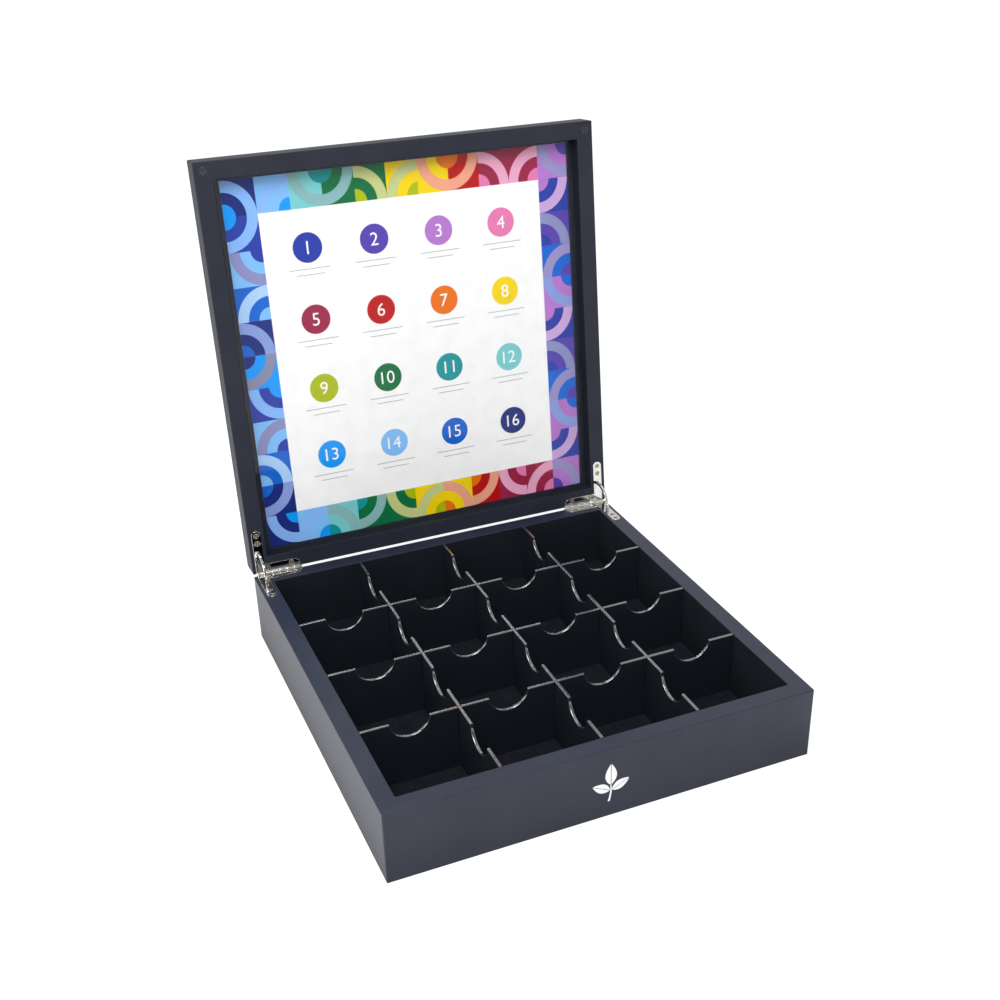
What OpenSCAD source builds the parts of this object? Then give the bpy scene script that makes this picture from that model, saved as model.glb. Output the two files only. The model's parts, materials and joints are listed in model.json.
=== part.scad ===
/* [Box] */
// Outside width, left to right
box_w = 330; // [280:1:420]
// Outside depth, front to back
box_d = 336; // [280:1:420]
// Height of the base
base_h = 58; // [45:1:90]
// Height of the lid frame
lid_h = 20.5; // [19:0.5:36]
// Thickness of the base walls and of the lid rails
wall_t = 14; // [12:0.5:20]
// Rounding of the four upright outside corners
corner_r = 1.4; // [0.6:0.1:4]
// Rounding of the long edges of walls and rails
edge_r = 0.7; // [0.2:0.1:1.5]
// Gap between the base and the closed lid
lid_gap = 0.8; // [0.6:0.1:1.6]
// Angle from closed at which the stays stop the lid
open_angle = 96; // [85:1:105]

/* [Bottom] */
// Thickness of the bottom board
bottom_t = 5; // [3:0.5:10]
// How far the bottom board is let into each wall
bottom_lip = 4; // [2:0.5:6]
// Thickness of the lining on the bottom board
liner_t = 1; // [0.5:0.1:3]

/* [Lid board, print and clear sheet] */
// Thickness of the lid board
lid_board_t = 9; // [4:0.5:10]
// How far the lid board is let into each rail
lid_lip = 4; // [2:0.5:4.5]
// Thickness of the printed card
print_t = 0.5; // [0.2:0.1:1.5]
// Bare margin to the left and right of the print
print_side_margin = 5.8; // [1:0.1:20]
// Bare margin at the free edge and the hinge edge of the print
print_end_margin = 2.6; // [1:0.1:20]
// Thickness of the clear sheet over the print
sheet_t = 1.5; // [1:0.1:3]

/* [Dividers] */
// Thickness of a divider
divider_t = 2.4; // [1.5:0.1:5]
// Radius of a finger notch
notch_r = 15.5; // [8:0.5:20]
// Height of a notch's centre above the divider's top edge
notch_rise = 2; // [0:0.5:6]
// Chamfer along the top edges and round the notches
divider_edge = 0.4; // [0.1:0.1:0.6]

/* [Hinge leaves] */
// Thickness of a leaf
leaf_t = 1.2; // [0.8:0.1:2]
// Width of the arm on the side wall
side_arm_w = 8; // [7:0.5:9]
// Reach of the side arm from the back of the box
side_arm_len = 38; // [36:1:60]
// Width of the arm on the back wall
back_arm_w = 7.5; // [6.5:0.5:9]
// Length of the back arm, which is also the length of the knuckles together
back_arm_len = 38; // [34:1:60]
// Rounding of the back arm's free corner
back_arm_r = 6; // [1:0.5:6]
// Distance between the two screws of the side arm
screw_gap = 7; // [5.5:0.5:9]
// Rim left between the back arm's front edge and its screw heads
screw_rim = 0.9; // [0.4:0.1:1.5]

/* [Hinge pin and knuckles] */
// How far the hinge axis lies behind the box
axis_back = 0.7; // [0.5:0.1:2.4]
// Radius of a knuckle
knuckle_r = 2; // [1.8:0.1:2.6]
// Radius of the pin
pin_r = 1; // [0.6:0.1:1.2]

/* [Stay] */
// Radius of the stay's middle line about the hinge axis
stay_r = 18; // [16:0.5:18.5]
// Width of the stay, measured along its radius
stay_w = 2.6; // [2:0.1:3.2]
// Thickness of the stay
stay_t = 1.6; // [1:0.1:2.2]
// How far a hook reaches in from the stay's inner edge
hook_w = 2; // [1:0.1:3]
// Length of a hook, as an angle about the hinge axis
hook_angle = 11; // [6:1:12]

/* [Screws] */
// Radius of a screw head
head_r = 2.2; // [1.8:0.1:2.6]
// Radius of a screw shank
shank_r = 1.1; // [0.8:0.1:1.4]
// Length of a screw under the leaf
screw_len = 9; // [6:0.5:14]

/* [Bumpers] */
// Radius of a bumper
bumper_r = 3.5; // [2:0.5:5]
// Distance of a bumper's centre from the lid's free edge
bumper_inset = 7; // [6:0.5:12]

/* [Hidden] */
$fn = 48;

// Cuts run this far past the faces that they open
over = 1;
// Clearance round a board, card or sheet in its frame
board_fit = 0.2;
// Clearance at each end of a divider and round its cross slots
divider_fit = 0.3;
// Clearance round a leaf in its recess
leaf_fit = 0.1;
// Clearance round the knuckles, in the wood and in the other leaf
knuckle_fit = 0.25;
// Gap between neighbouring knuckles
knuckle_gap = 0.5;
// Clearance of the pin in the knuckles that turn on it, and in those that hold it
pin_run_fit = 0.05;
pin_hold_fit = 0.01;
// Clearance round the stay in the leaf slots, and in the mortises
slot_fit = 0.25;
mortise_fit = 0.35;
// Clearance round a shank in the wood
pilot_fit = 0.02;
// Room left between a hook and its leaf at the stop, and past a hook in its mortise
stop_room = 0.4;
mortise_room = 1;
// Room left above a bumper when the lid is closed, and the rounding of its edge
bumper_room = 0.1;
bumper_edge = 0.45;
// Heads of the hinge pin
pin_head_r = 1.5;
pin_head_t = 0.6;
// Cross recess of a screw head
recess_len = 2.6;
recess_w = 0.5;
recess_deep = 0.7;

// Corners in the outline of the wedge that cuts a sector out of a ring
wedge_steps = 6;

// Compartments each way, and knuckles in one hinge
cells = 4;
knuckles = 6;
// Which knuckles a leaf has, counted from the side of the box
base_parity = 0;
lid_parity = 1;

inner_w = box_w - 2 * wall_t;
inner_d = box_d - 2 * wall_t;
floor_z = bottom_t + liner_t;
divider_h = base_h - floor_z;
lid_rim_z = base_h + lid_gap;
lid_board_z = lid_rim_z + lid_h - lid_board_t;
print_z = lid_board_z - print_t;
sheet_z = print_z - sheet_t;
axis_y = box_d / 2 + axis_back;
axis_z = base_h + lid_gap / 2;

// In the hinge's own frame a leaf lies between these two heights below the axis
leaf_top = -lid_gap / 2;
leaf_under = leaf_top - leaf_t;
arm_u = (wall_t - side_arm_w) / 2;
stay_u = wall_t / 2;
knuckle_pitch = back_arm_len / knuckles;
stay_in = stay_r - stay_w / 2;
stay_out = stay_r + stay_w / 2;
hook_in = stay_in - hook_w;
hook_start = asin(-leaf_under / hook_in) + stop_room;
stay_half = open_angle / 2 + hook_start + hook_angle;
back_screw_v = back_arm_w - screw_rim - head_r;
// Screw places on a leaf, from the side face and the back face of the box
screw_spots = [
    [stay_u, side_arm_len - side_arm_w / 2],
    [stay_u, side_arm_len - side_arm_w / 2 - screw_gap],
    [arm_u + side_arm_w + head_r, back_screw_v],
    [arm_u + back_arm_len - back_arm_w, back_screw_v]
];

paint = [0.22, 0.23, 0.27];
board_black = [0.1, 0.11, 0.12];
divider_black = [0.15, 0.16, 0.17];
steel = [0.78, 0.78, 0.76];
clear = [0.85, 0.9, 0.95, 0.3];

// Takes the square corner off a section: material lies from the corner towards [into]
module corner_cut(at, into, r) {
    difference() {
        translate(at + into * (r - over) / 2) square(r + over, center = true);
        translate(at + into * r) circle(r);
    }
}

module rounded_rect(w, d, r) {
    difference() {
        square([w, d], center = true);
        for (sx = [-1, 1], sy = [-1, 1])
            corner_cut([sx * w / 2, sy * d / 2], [-sx, -sy], r);
    }
}

// Plan of one bar of a mitred frame, on the -Y side
module bar_plan(run, reach) {
    polygon([
        [-run / 2, -reach / 2],
        [run / 2, -reach / 2],
        [run / 2 - wall_t, -reach / 2 + wall_t],
        [-run / 2 + wall_t, -reach / 2 + wall_t]
    ]);
}

// One bar of a mitred frame, on the -Y side, with its section as the child.
// The section's first axis runs inwards from the outer face, and its second runs up.
module mitred_bar(run, reach, height) {
    intersection() {
        translate([-run / 2, -reach / 2, 0])
            rotate([90, 0, 90]) linear_extrude(run) children();
        linear_extrude(height) intersection() {
            bar_plan(run, reach);
            rounded_rect(run, reach, corner_r);
        }
    }
}

// The same bar on any side of the box: 0 front, 1 right, 2 back, 3 left
module frame_bar(side, height) {
    across = side % 2 == 1;
    rotate([0, 0, 90 * side])
        mitred_bar(across ? box_d : box_w, across ? box_w : box_d, height) children();
}

module base_section() {
    difference() {
        square([wall_t, base_h]);
        translate([wall_t - bottom_lip, -over]) square([bottom_lip + over, bottom_t + over]);
        corner_cut([0, 0], [1, 1], edge_r);
        corner_cut([0, base_h], [1, -1], edge_r);
        corner_cut([wall_t, base_h], [-1, -1], edge_r);
    }
}

module lid_section() {
    difference() {
        square([wall_t, lid_h]);
        translate([wall_t - lid_lip, lid_h - lid_board_t])
            square([lid_lip + over, lid_board_t + over]);
        corner_cut([0, 0], [1, 1], edge_r);
        corner_cut([0, lid_h], [1, -1], edge_r);
        corner_cut([wall_t, 0], [-1, 1], edge_r);
    }
}

// Places its children in the frame of one hinge: X runs inwards from the side face,
// Y runs forwards from the back face and Z runs up from the hinge axis. -1 is left, 1 right.
module at_hinge(side) {
    translate([side * box_w / 2, box_d / 2, axis_z])
        if (side > 0) rotate([0, 0, 180]) children();
        else mirror([0, 1, 0]) children();
}

// The lid's half of a hinge is the base's half turned over the axis plane
module lid_half() {
    mirror([0, 0, 1]) children();
}

// Turns the lid and what is on it from closed to the open rest pose
module opened() {
    translate([0, axis_y, axis_z]) rotate([-open_angle, 0, 0])
        translate([0, -axis_y, -axis_z]) children();
}

// A cylinder on the hinge axis, in the hinge's frame, from one distance inwards to another
module on_axis(r, from, to) {
    translate([from, -axis_back, 0]) rotate([0, 90, 0]) cylinder(r = r, h = to - from);
}

// Part of a flat ring round the origin, between two angles
module ring_sector(r_in, r_out, from, to) {
    reach = 2 * r_out;
    intersection() {
        difference() {
            circle(r_out);
            circle(r_in);
        }
        polygon(concat([[0, 0]], [
            for (k = [0:wedge_steps])
                let (a = from + (to - from) * k / wedge_steps) reach * [cos(a), sin(a)]
        ]));
    }
}

// A flat shape round the hinge axis, in the hinge's frame, centred on the side arm
module on_stay_line(thick) {
    translate([stay_u - thick / 2, -axis_back, 0])
        rotate([90, 0, 90]) linear_extrude(thick) children();
}

// Outline of a leaf, grown by a clearance where it is the recess in the wood
module leaf_outline(grow = 0) {
    back_end = arm_u + back_arm_len + grow;
    difference() {
        translate([arm_u - grow, 0]) square([back_end - arm_u + grow, back_arm_w + grow]);
        corner_cut([back_end, back_arm_w + grow], [-1, -1], back_arm_r + grow);
    }
    translate([arm_u - grow, 0])
        square([side_arm_w + 2 * grow, side_arm_len - side_arm_w / 2]);
    translate([stay_u, side_arm_len - side_arm_w / 2]) circle(side_arm_w / 2 + grow);
}

module knuckle_row(parity) {
    for (k = [parity:2:knuckles - 1]) {
        from = arm_u + k * knuckle_pitch + knuckle_gap / 2;
        to = from + knuckle_pitch - knuckle_gap;
        on_axis(knuckle_r, from, to);
        translate([from, -axis_back, leaf_under])
            cube([to - from, axis_back + knuckle_r, leaf_t]);
    }
}

// Room for the other leaf's knuckles
module knuckle_clearance(parity) {
    for (k = [1 - parity:2:knuckles - 1])
        on_axis(knuckle_r + knuckle_fit,
            arm_u + k * knuckle_pitch, arm_u + (k + 1) * knuckle_pitch);
}

// One screw's head sinks into the leaf as a cone
module head_cone(extra = 0) {
    translate([0, 0, leaf_under])
        cylinder(r1 = shank_r, r2 = head_r, h = leaf_t);
    if (extra > 0) translate([0, 0, leaf_top]) cylinder(r = head_r, h = extra);
}

module leaf(parity) {
    slot_from = sqrt(pow(stay_in - slot_fit, 2) - pow(leaf_under, 2)) - axis_back;
    slot_to = stay_out + slot_fit - axis_back;
    slot_w = stay_t + 2 * slot_fit;
    color(steel) difference() {
        union() {
            translate([0, 0, leaf_under]) linear_extrude(leaf_t) leaf_outline();
            knuckle_row(parity);
        }
        knuckle_clearance(parity);
        on_axis(pin_r + (parity == base_parity ? pin_hold_fit : pin_run_fit),
            arm_u - over, arm_u + back_arm_len + over);
        translate([stay_u - slot_w / 2, slot_from, leaf_under - over])
            cube([slot_w, slot_to - slot_from, leaf_t + 2 * over]);
        for (spot = screw_spots) translate(spot) head_cone(over);
    }
}

module screws() {
    color(steel) for (spot = screw_spots) translate(spot) difference() {
        union() {
            head_cone();
            translate([0, 0, leaf_under - screw_len]) cylinder(r = shank_r, h = screw_len);
        }
        for (turn = [0, 90]) rotate([0, 0, turn])
            translate([-recess_len / 2, -recess_w / 2, leaf_top - recess_deep])
                cube([recess_len, recess_w, recess_deep + over]);
    }
}

module pin() {
    from = arm_u;
    to = arm_u + back_arm_len;
    color(steel) {
        on_axis(pin_r, from, to);
        on_axis(pin_head_r, from - pin_head_t, from);
        on_axis(pin_head_r, to, to + pin_head_t);
    }
}

// At rest the stay stands half way between the base and the open lid
module stay() {
    color(steel) on_stay_line(stay_t) rotate(open_angle / 2) {
        ring_sector(stay_in, stay_out, -stay_half, stay_half);
        for (end = [-1, 1]) {
            a = end * stay_half;
            b = end * (stay_half - hook_angle);
            ring_sector(hook_in, stay_out, min(a, b), max(a, b));
        }
    }
}

// What one leaf, its knuckles, its screws and the stay need cut out of the wood below them
module hinge_cuts() {
    translate([0, -over, leaf_under]) linear_extrude(leaf_t + over) union() {
        translate([0, over]) leaf_outline(leaf_fit);
        translate([arm_u - leaf_fit, 0]) square([back_arm_len + 2 * leaf_fit, 2 * over]);
    }
    on_axis(knuckle_r + knuckle_fit,
        arm_u - pin_head_t - knuckle_fit, arm_u + back_arm_len + pin_head_t + knuckle_fit);
    on_stay_line(stay_t + 2 * mortise_fit)
        ring_sector(hook_in - mortise_fit, stay_out + mortise_fit,
            -stay_half - mortise_room, 0);
    for (spot = screw_spots) translate([spot[0], spot[1], leaf_under - screw_len - pilot_fit])
        cylinder(r = shank_r + pilot_fit, h = screw_len + pilot_fit + over);
}

module base_wall(side, hinges = []) {
    color(paint) difference() {
        frame_bar(side, base_h) base_section();
        for (hinge = hinges) at_hinge(hinge) hinge_cuts();
    }
}

module lid_rail(side, hinges = []) {
    color(paint) opened() difference() {
        translate([0, 0, lid_rim_z]) frame_bar(side, lid_h) lid_section();
        for (hinge = hinges) at_hinge(hinge) lid_half() hinge_cuts();
    }
}

// A flat board, centred on the box, with its underside at a given height
module board(w, d, thick, z) {
    translate([-w / 2, -d / 2, z]) cube([w, d, thick]);
}

module base_bottom_board() {
    room = 2 * (bottom_lip - board_fit);
    color(board_black) board(inner_w + room, inner_d + room, bottom_t, 0);
}

module base_floor_liner() {
    room = 2 * board_fit;
    color(board_black) board(inner_w - room, inner_d - room, liner_t, bottom_t);
}

// Places of the cross slots or notches along a divider, counted from its middle
function cell_size(run) = (run - (cells - 1) * divider_t) / cells;
function crossings(run) =
    [for (k = [1:cells - 1]) (k - cells / 2) * (cell_size(run) + divider_t)];
function cell_middles(run) =
    [for (k = [0:cells - 1]) (k - (cells - 1) / 2) * (cell_size(run) + divider_t)];

// Finger notch through a divider, chamfered where it meets both faces
module notch() {
    rotate([90, 0, 0]) cylinder(r = notch_r, h = divider_t + 2 * over, center = true);
    for (face = [-90, 90]) rotate([face, 0, 0])
        translate([0, 0, divider_t / 2 - divider_edge])
            cylinder(r1 = notch_r, r2 = notch_r + divider_edge + over, h = divider_edge + over);
}

// A divider that runs along X through the middle of the box, cut at its crossings
// from above or from below so that two of them lock together
module divider(run, slots_from_above) {
    slot_w = divider_t + 2 * divider_fit;
    half_h = divider_h / 2;
    slot_z = slots_from_above ? floor_z + half_h : floor_z - over;
    edge_side = divider_edge * sqrt(2);
    color(divider_black) difference() {
        board(run - 2 * divider_fit, divider_t, divider_h, floor_z);
        for (x = crossings(run)) translate([x - slot_w / 2, -divider_t / 2 - over, slot_z])
            cube([slot_w, divider_t + 2 * over, half_h + over]);
        for (x = cell_middles(run)) translate([x, 0, base_h + notch_rise]) notch();
        for (face = [-1, 1]) translate([0, face * divider_t / 2, base_h])
            rotate([45, 0, 0]) cube([run, edge_side, edge_side], center = true);
    }
}

module divider_across(place) {
    translate([0, crossings(inner_d)[place], 0]) divider(inner_w, true);
}

module divider_along(place) {
    translate([crossings(inner_w)[place], 0, 0]) rotate([0, 0, 90]) divider(inner_d, false);
}

module lid_board() {
    room = 2 * (lid_lip - board_fit);
    color(paint) opened() board(inner_w + room, inner_d + room, lid_board_t, lid_board_z);
}

module lid_print_card() {
    color("white") opened() board(inner_w - 2 * print_side_margin,
        inner_d - 2 * print_end_margin, print_t, print_z);
}

module lid_clear_sheet() {
    room = 2 * board_fit;
    color(clear) opened() board(inner_w - room, inner_d - room, sheet_t, sheet_z);
}

// Low round pads on the lid's rim near its free corners
module lid_bumpers() {
    high = lid_gap - bumper_room;
    color(clear) opened() for (side = [-1, 1])
        translate([side * (box_w / 2 - stay_u), bumper_inset - box_d / 2, lid_rim_z])
            rotate_extrude() difference() {
                translate([0, -high]) square([bumper_r, high]);
                corner_cut([bumper_r, -high], [-1, 1], bumper_edge);
            }
}

base_wall(0);  // base_front_wall
base_wall(2, [-1, 1]);  // base_back_wall
base_wall(3, [-1]);  // base_left_wall
base_wall(1, [1]);  // base_right_wall
base_bottom_board();
base_floor_liner();
divider_across(0);  // divider_across_front
divider_across(1);  // divider_across_middle
divider_across(2);  // divider_across_back
divider_along(0);  // divider_along_left
divider_along(1);  // divider_along_middle
divider_along(2);  // divider_along_right
lid_rail(0);  // lid_front_rail
lid_rail(2, [-1, 1]);  // lid_back_rail
lid_rail(3, [-1]);  // lid_left_rail
lid_rail(1, [1]);  // lid_right_rail
lid_board();
lid_print_card();
lid_clear_sheet();
lid_bumpers();
at_hinge(-1) leaf(base_parity);  // left_hinge_base_leaf
opened() at_hinge(-1) lid_half() leaf(lid_parity);  // left_hinge_lid_leaf
at_hinge(-1) pin();  // left_hinge_pin
at_hinge(-1) stay();  // left_hinge_stay
at_hinge(-1) screws();  // left_hinge_base_screws
opened() at_hinge(-1) lid_half() screws();  // left_hinge_lid_screws
at_hinge(1) leaf(base_parity);  // right_hinge_base_leaf
opened() at_hinge(1) lid_half() leaf(lid_parity);  // right_hinge_lid_leaf
at_hinge(1) pin();  // right_hinge_pin
at_hinge(1) stay();  // right_hinge_stay
at_hinge(1) screws();  // right_hinge_base_screws
opened() at_hinge(1) lid_half() screws();  // right_hinge_lid_screws
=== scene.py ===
"""Looks of a tea bag organizer box: paint, dividers, printed lid, bright hinges and studio."""
import json
import logging
import math
from abc import ABC, abstractmethod
from dataclasses import dataclass, field, replace
from enum import Enum
from functools import cache

import bmesh
import bpy
import numpy as np
from mathutils import Matrix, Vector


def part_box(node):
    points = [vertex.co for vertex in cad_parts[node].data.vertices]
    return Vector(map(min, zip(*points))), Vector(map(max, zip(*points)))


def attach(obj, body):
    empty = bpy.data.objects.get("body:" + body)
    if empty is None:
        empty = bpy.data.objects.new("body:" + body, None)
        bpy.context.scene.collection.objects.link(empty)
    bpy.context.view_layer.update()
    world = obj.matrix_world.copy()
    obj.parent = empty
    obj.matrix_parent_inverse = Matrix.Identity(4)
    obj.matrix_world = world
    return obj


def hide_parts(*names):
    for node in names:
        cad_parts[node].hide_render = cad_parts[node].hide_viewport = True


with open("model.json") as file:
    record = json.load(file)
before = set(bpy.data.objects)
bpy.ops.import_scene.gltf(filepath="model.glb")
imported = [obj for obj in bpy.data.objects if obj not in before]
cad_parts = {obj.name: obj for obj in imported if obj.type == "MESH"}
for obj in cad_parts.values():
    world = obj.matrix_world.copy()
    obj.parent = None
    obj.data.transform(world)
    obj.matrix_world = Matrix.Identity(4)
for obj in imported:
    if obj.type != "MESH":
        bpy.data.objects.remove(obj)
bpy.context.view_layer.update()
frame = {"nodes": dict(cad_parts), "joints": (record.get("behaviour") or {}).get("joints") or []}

MM = 0.001
PICTURE_PX = 1000
SENSOR_MM = 36.0
INK_ATTRIBUTE = "ink"
INSIDE_EDGE = 0.15 * MM
MERGE_DISTANCE = 0.0001
HALF_THICKNESS = 0.5
BEVEL_SAMPLES = 16

Pair = tuple[float, float]
Triple = tuple[float, float, float]
Colour = Triple
Socket = bpy.types.NodeSocket
Value = float | Socket

log = logging.getLogger("tea_box")


class Body(Enum):
    """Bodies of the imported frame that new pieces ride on."""

    BASE = "base"
    LID = "lid"


class Slot(Enum):
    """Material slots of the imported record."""

    PRINT = "print"


class Run(Enum):
    """Direction that a painted board or rail runs in, as the grain under its paint does."""

    ACROSS = "across"
    ALONG = "along"


class Faces(Enum):
    """Axis that a divider's two large faces look along."""

    FRONT_AND_BACK = 1
    LEFT_AND_RIGHT = 0


class Ink(Enum):
    """Printing inks of the lid's card and of the motif on the front, as linear colours."""

    WHITE = (0.95, 0.95, 0.955)
    RULE = (0.22, 0.23, 0.26)
    NAVY = (0.008, 0.022, 0.20)
    BLUE = (0.004, 0.13, 0.62)
    AZURE = (0.001, 0.32, 0.92)
    SKY = (0.22, 0.52, 0.93)
    AQUA = (0.19, 0.60, 0.62)
    TEAL = (0.002, 0.30, 0.32)
    GREEN = (0.001, 0.16, 0.048)
    LIME = (0.42, 0.50, 0.001)
    YELLOW = (0.90, 0.66, 0.001)
    ORANGE = (0.82, 0.17, 0.001)
    RED = (0.50, 0.003, 0.004)
    CRIMSON = (0.33, 0.016, 0.062)
    PINK = (0.78, 0.20, 0.44)
    LILAC = (0.46, 0.19, 0.60)
    VIOLET = (0.095, 0.055, 0.42)
    INDIGO = (0.020, 0.045, 0.38)

    def tint(self, share: float) -> Colour:
        """Mixes the ink with white.

        Args:
            share: Part of white, from 0 to 1.

        Returns:
            The lighter linear colour.
        """
        return tuple(c + (w - c) * share for c, w in zip(self.value, Ink.WHITE.value))


RAINBOW = (
    Ink.AZURE, Ink.SKY, Ink.TEAL, Ink.GREEN, Ink.LIME, Ink.YELLOW,
    Ink.ORANGE, Ink.RED, Ink.PINK, Ink.CRIMSON, Ink.VIOLET,
)
RAINBOW_MATES = (
    Ink.NAVY, Ink.AZURE, Ink.AQUA, Ink.TEAL, Ink.GREEN, Ink.LIME,
    Ink.YELLOW, Ink.ORANGE, Ink.CRIMSON, Ink.PINK, Ink.LILAC,
)
LEFT_BLUES = (Ink.AZURE, Ink.NAVY, Ink.BLUE, Ink.SKY, Ink.INDIGO)
RIGHT_BLUES = (Ink.VIOLET, Ink.INDIGO, Ink.LILAC, Ink.BLUE)
CHART_INKS = (
    Ink.INDIGO, Ink.VIOLET, Ink.LILAC, Ink.PINK,
    Ink.CRIMSON, Ink.RED, Ink.ORANGE, Ink.YELLOW,
    Ink.LIME, Ink.GREEN, Ink.TEAL, Ink.AQUA,
    Ink.AZURE, Ink.SKY, Ink.BLUE, Ink.NAVY,
)


class Tree:
    """Node tree of one material or world, built one named step at a time."""

    def __init__(self, owner: bpy.types.Material | bpy.types.World) -> None:
        """Empties the owner's node tree.

        Args:
            owner: Material or world whose nodes are built.
        """
        owner.use_nodes = True
        self.tree = owner.node_tree
        self.tree.nodes.clear()

    def node(self, kind: str, **settings: object) -> bpy.types.Node:
        """Adds a node.

        Args:
            kind: Blender's node type.
            settings: Attributes of the node and their values.

        Returns:
            The new node.
        """
        made = self.tree.nodes.new(kind)
        for name, value in settings.items():
            setattr(made, name, value)
        return made

    def feed(self, socket: Socket, value: Value | Colour) -> None:
        """Links a socket to another one, or sets its own value.

        Args:
            socket: Input that is fed.
            value: Output socket, number, vector or linear colour.
        """
        if isinstance(value, bpy.types.NodeSocket):
            self.tree.links.new(value, socket)
        elif socket.type == "RGBA":
            socket.default_value = (*value, 1.0)
        else:
            socket.default_value = value

    def points(self, scale: Triple = (1.0, 1.0, 1.0), turn_x: float = 0.0,
               shift: Triple = (0.0, 0.0, 0.0)) -> Socket:
        """Gives the surface point, turned about X, then shifted and stretched.

        Args:
            scale: Factor for each axis, so that a small factor makes long streaks.
            turn_x: Angle in radians that undoes a piece's tilt.
            shift: Offset in metres after the turn.

        Returns:
            Vector socket.
        """
        turned = self.node("ShaderNodeMapping", vector_type="POINT")
        self.feed(turned.inputs["Vector"], self.node("ShaderNodeTexCoord").outputs["Object"])
        turned.inputs["Rotation"].default_value = (turn_x, 0.0, 0.0)
        turned.inputs["Location"].default_value = shift
        stretched = self.node("ShaderNodeVectorMath", operation="MULTIPLY")
        self.feed(stretched.inputs[0], turned.outputs["Vector"])
        stretched.inputs[1].default_value = scale
        return stretched.outputs["Vector"]

    def parts(self, vector: Socket) -> tuple[Socket, Socket, Socket]:
        """Takes a vector apart.

        Args:
            vector: The vector.

        Returns:
            Number sockets of its X, Y and Z.
        """
        made = self.node("ShaderNodeSeparateXYZ")
        self.feed(made.inputs[0], vector)
        return tuple(made.outputs)

    def noise(self, points: Socket, size: float, detail: float = 2.0) -> Socket:
        """Gives soft noise from 0 to 1.

        Args:
            points: Points to read it at.
            size: Size of one blotch, in metres.
            detail: Octaves of finer noise on top.

        Returns:
            Number socket.
        """
        made = self.node("ShaderNodeTexNoise")
        self.feed(made.inputs["Vector"], points)
        made.inputs["Scale"].default_value = 1.0 / size
        made.inputs["Detail"].default_value = detail
        return made.outputs["Fac"]

    def maths(self, operation: str, *values: Value, clamp: bool = False) -> Socket:
        """Works out one sum.

        Args:
            operation: Blender's name of the operation.
            values: Its inputs in order.
            clamp: Whether the result is kept from 0 to 1.

        Returns:
            Number socket.
        """
        made = self.node("ShaderNodeMath", operation=operation, use_clamp=clamp)
        for socket, value in zip(made.inputs, values):
            self.feed(socket, value)
        return made.outputs[0]

    def spread(self, value: Value, low: float, high: float, start: float = 0.3,
               end: float = 0.7) -> Socket:
        """Stretches the middle of a noise, from start to end, over the range from low to high.

        Args:
            value: Number to stretch.
            low: Result at start and below.
            high: Result at end and above.
            start: Input that gives low.
            end: Input that gives high.

        Returns:
            Number socket.
        """
        made = self.node("ShaderNodeMapRange")
        for name, number in (("Value", value), ("From Min", start), ("From Max", end),
                             ("To Min", low), ("To Max", high)):
            self.feed(made.inputs[name], number)
        return made.outputs["Result"]

    def blend(self, share: Value, first: Socket | Colour, second: Socket | Colour) -> Socket:
        """Mixes two colours.

        Args:
            share: Part of the second one.
            first: Colour at share 0.
            second: Colour at share 1.

        Returns:
            Colour socket.
        """
        made = self.node("ShaderNodeMix", data_type="RGBA")
        self.feed(made.inputs[0], share)
        self.feed(made.inputs[6], first)
        self.feed(made.inputs[7], second)
        return made.outputs[2]

    def between(self, share: Value, first: Value, second: Value) -> Socket:
        """Mixes two numbers.

        Args:
            share: Part of the second one.
            first: Number at share 0.
            second: Number at share 1.

        Returns:
            Number socket.
        """
        made = self.node("ShaderNodeMix", data_type="FLOAT")
        self.feed(made.inputs[0], share)
        self.feed(made.inputs[2], first)
        self.feed(made.inputs[3], second)
        return made.outputs[0]

    def shade(self, value: Value, colour: Socket | Colour) -> Socket:
        """Multiplies a colour by a number, such as a noise round 1.

        Args:
            value: The number.
            colour: The colour.

        Returns:
            Colour socket.
        """
        made = self.node("ShaderNodeVectorMath", operation="SCALE")
        source = made.inputs[0]
        if isinstance(colour, bpy.types.NodeSocket):
            self.feed(source, colour)
        else:
            source.default_value = colour
        self.feed(made.inputs["Scale"], value)
        return made.outputs["Vector"]

    def bump(self, height: Value, depth: float, normal: Socket | None = None) -> Socket:
        """Turns a height from 0 to 1 into a bumped normal.

        Args:
            height: Height of the surface.
            depth: Real depth in metres between heights 0 and 1.
            normal: Normal that is bumped further, where there is one.

        Returns:
            Normal socket.
        """
        made = self.node("ShaderNodeBump")
        made.inputs["Distance"].default_value = depth
        self.feed(made.inputs["Height"], height)
        if normal is not None:
            self.feed(made.inputs["Normal"], normal)
        return made.outputs["Normal"]

    def rounded(self, radius: float) -> Socket:
        """Gives a normal that turns softly over sharp edges.

        Args:
            radius: Radius of the rounding.

        Returns:
            Normal socket.
        """
        made = self.node("ShaderNodeBevel", samples=BEVEL_SAMPLES)
        made.inputs["Radius"].default_value = radius
        return made.outputs["Normal"]

    def surface(self, **inputs: Value | Colour) -> Socket:
        """Adds a Principled shader.

        Args:
            inputs: Its inputs, with underscores for spaces.

        Returns:
            Shader socket.
        """
        made = self.node("ShaderNodeBsdfPrincipled")
        for name, value in inputs.items():
            self.feed(made.inputs[name.replace("_", " ")], value)
        return made.outputs["BSDF"]

    def mix(self, share: Value, first: Socket, second: Socket) -> Socket:
        """Mixes two shaders.

        Args:
            share: Part of the second one.
            first: Shader at share 0.
            second: Shader at share 1.

        Returns:
            Shader socket.
        """
        made = self.node("ShaderNodeMixShader")
        self.feed(made.inputs[0], share)
        self.feed(made.inputs[1], first)
        self.feed(made.inputs[2], second)
        return made.outputs[0]

    def end(self, shader: Socket) -> None:
        """Makes a shader the material's surface."""
        self.feed(self.node("ShaderNodeOutputMaterial").inputs["Surface"], shader)


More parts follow.
